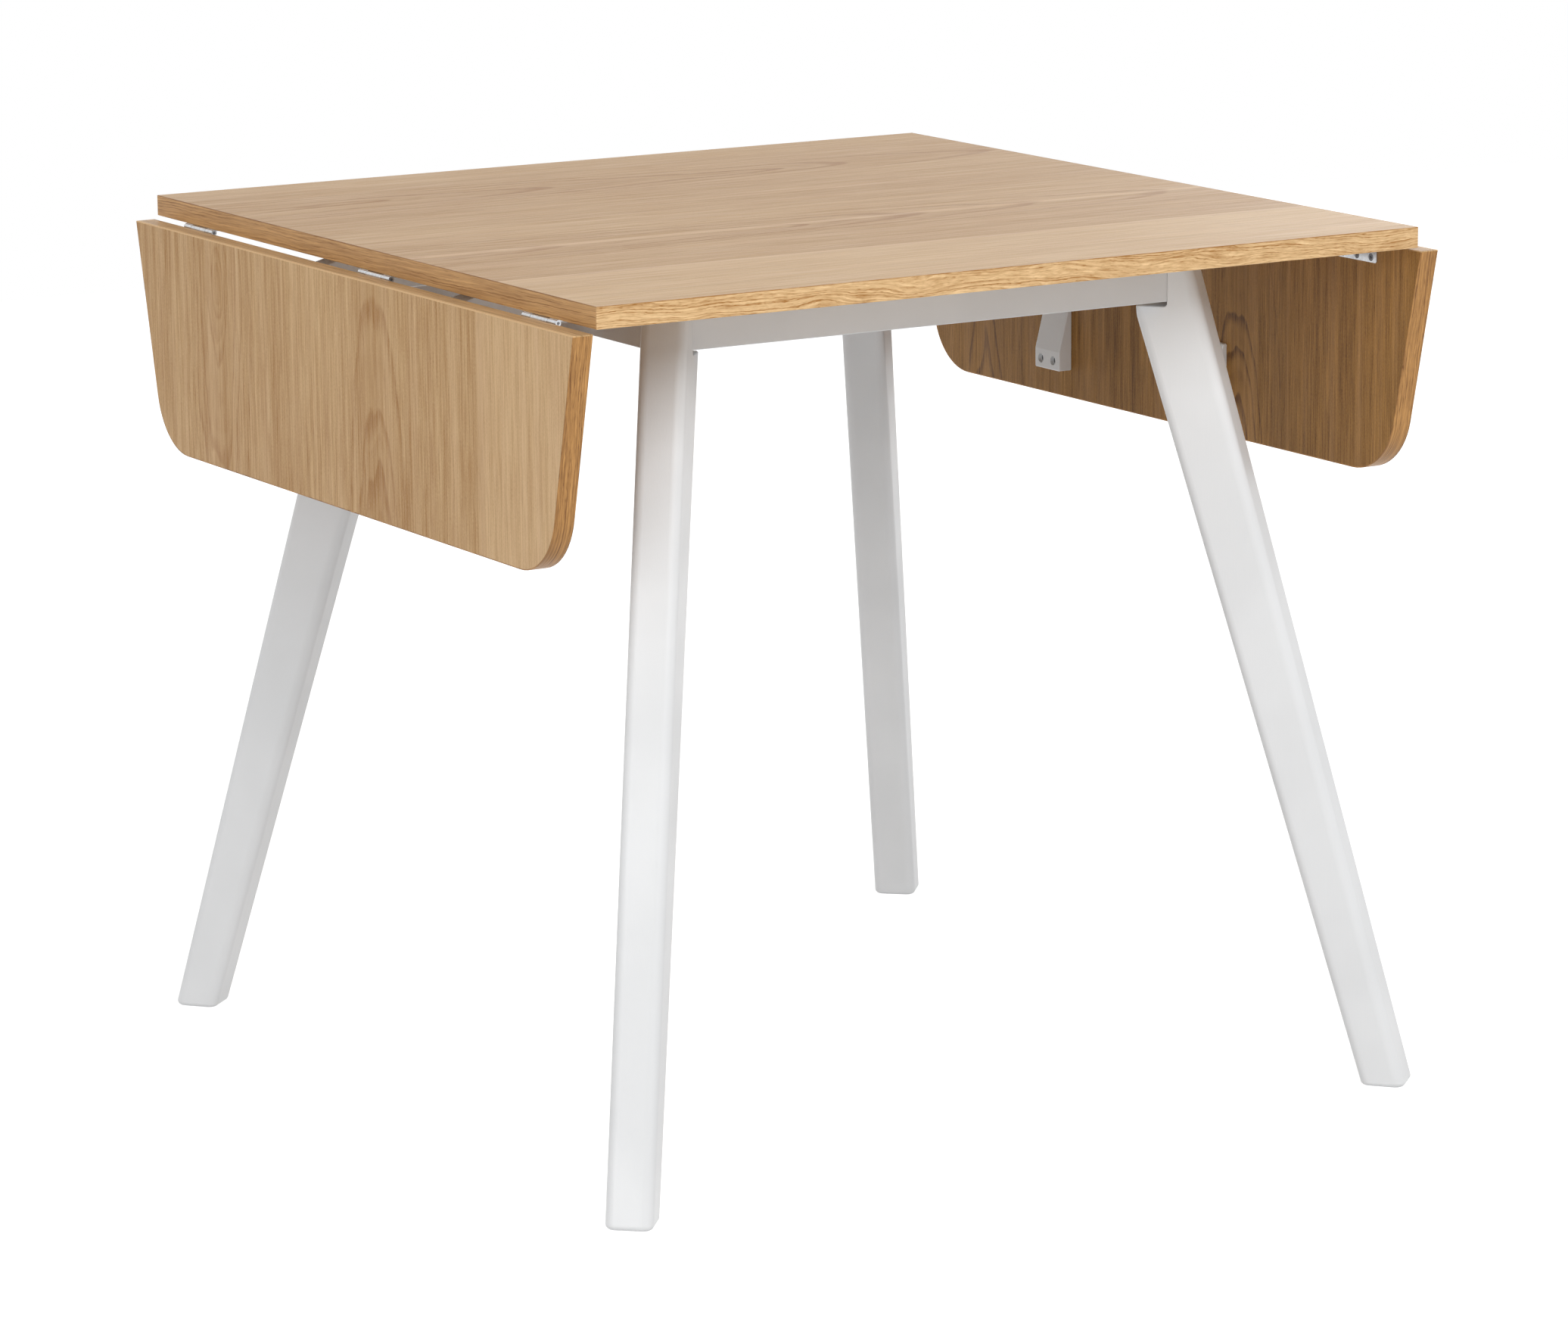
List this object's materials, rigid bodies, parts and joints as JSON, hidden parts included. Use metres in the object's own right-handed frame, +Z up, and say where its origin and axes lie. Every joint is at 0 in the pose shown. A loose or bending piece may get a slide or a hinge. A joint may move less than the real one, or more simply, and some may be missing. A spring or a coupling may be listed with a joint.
{
  "type": "drop-leaf table",
  "caption": "Square drop-leaf dining table: oak top with a hinged rounded leaf hanging at each side, pull-out bars that carry the raised leaves, and four splayed white legs.",
  "frame": {"origin": "on the floor under the middle of the top", "axes": "+X to the right leaf, +Y to the back, +Z up; the leaves hang at -X and +X"},
  "size_m": [0.8424, 0.847, 0.75],
  "materials": {
    "oak_veneer": "light oak veneer, fine satin lacquer",
    "oak_lipping": "solid oak edge strip, satin lacquer",
    "white_painted_wood": "white satin paint on wood",
    "bare_beech": "bare planed beech",
    "hinge_zinc": "bright zinc-plated steel",
    "steel_fixings": "plain steel screws, bolts and pins"
  },
  "bodies": {
    "table_frame": {"top_panel": "oak_veneer", "top_lipping_front": "oak_lipping", "top_lipping_back": "oak_lipping", "top_lipping_left": "oak_lipping", "top_lipping_right": "oak_lipping", "apron_front": "white_painted_wood", "apron_back": "white_painted_wood", "apron_left": "white_painted_wood", "apron_right": "white_painted_wood", "bar_guide_rail": "white_painted_wood", "leg_front_left": "white_painted_wood", "leg_front_right": "white_painted_wood", "leg_back_left": "white_painted_wood", "leg_back_right": "white_painted_wood", "corner_block_front_left": "bare_beech", "corner_block_front_right": "bare_beech", "corner_block_back_left": "bare_beech", "corner_block_back_right": "bare_beech", "leg_bolts": "steel_fixings", "leg_washers": "steel_fixings", "leg_nuts": "steel_fixings", "top_brackets": "steel_fixings", "top_bracket_screws": "steel_fixings", "hinge_top_plate_left_front": "hinge_zinc", "hinge_top_plate_left_middle": "hinge_zinc", "hinge_top_plate_left_back": "hinge_zinc", "hinge_top_plate_right_front": "hinge_zinc", "hinge_top_plate_right_middle": "hinge_zinc", "hinge_top_plate_right_back": "hinge_zinc", "hinge_pins": "steel_fixings", "hinge_top_screws": "steel_fixings"},
    "left_leaf": {"leaf_panel_left": "oak_veneer", "leaf_joint_lipping_left": "oak_lipping", "leaf_edge_band_left": "oak_lipping", "hinge_leaf_plate_left_front": "hinge_zinc", "hinge_leaf_plate_left_middle": "hinge_zinc", "hinge_leaf_plate_left_back": "hinge_zinc", "hinge_leaf_screws_left": "steel_fixings", "wedge_block_left_front": "white_painted_wood", "wedge_block_left_back": "white_painted_wood", "wedge_screws_left": "steel_fixings"},
    "right_leaf": {"leaf_panel_right": "oak_veneer", "leaf_joint_lipping_right": "oak_lipping", "leaf_edge_band_right": "oak_lipping", "hinge_leaf_plate_right_front": "hinge_zinc", "hinge_leaf_plate_right_middle": "hinge_zinc", "hinge_leaf_plate_right_back": "hinge_zinc", "hinge_leaf_screws_right": "steel_fixings", "wedge_block_right_front": "white_painted_wood", "wedge_block_right_back": "white_painted_wood", "wedge_screws_right": "steel_fixings"},
    "bar_left_front": {"support_bar_left_front": "white_painted_wood", "stop_pegs_left_front": "bare_beech"},
    "bar_left_back": {"support_bar_left_back": "white_painted_wood", "stop_pegs_left_back": "bare_beech"},
    "bar_right_front": {"support_bar_right_front": "white_painted_wood", "stop_pegs_right_front": "bare_beech"},
    "bar_right_back": {"support_bar_right_back": "white_painted_wood", "stop_pegs_right_back": "bare_beech"}
  },
  "joints": [
    {"name": "left_leaf_fold", "type": "hinge", "parent": "table_frame", "child": "left_leaf", "pos_m": [-0.4005, 0, 0.72925], "axis": [0, 1, 0], "range_deg": [0, 90]},
    {"name": "right_leaf_fold", "type": "hinge", "parent": "table_frame", "child": "right_leaf", "pos_m": [0.4005, 0, 0.72925], "axis": [0, -1, 0], "range_deg": [0, 90]},
    {"name": "bar_left_front_slide", "type": "slide", "parent": "table_frame", "child": "bar_left_front", "axis": [-1, 0, 0], "range_m": [0, 0.143]},
    {"name": "bar_left_back_slide", "type": "slide", "parent": "table_frame", "child": "bar_left_back", "axis": [-1, 0, 0], "range_m": [0, 0.143]},
    {"name": "bar_right_front_slide", "type": "slide", "parent": "table_frame", "child": "bar_right_front", "axis": [1, 0, 0], "range_m": [0, 0.143]},
    {"name": "bar_right_back_slide", "type": "slide", "parent": "table_frame", "child": "bar_right_back", "axis": [1, 0, 0], "range_m": [0, 0.143]}
  ],
  "couplings": [
    {"joint": "bar_left_front_slide", "follows": "left_leaf_fold", "m_per_rad": 0.01655},
    {"joint": "bar_left_back_slide", "follows": "left_leaf_fold", "m_per_rad": 0.01655},
    {"joint": "bar_right_front_slide", "follows": "right_leaf_fold", "m_per_rad": 0.01655},
    {"joint": "bar_right_back_slide", "follows": "right_leaf_fold", "m_per_rad": 0.01655}
  ]
}
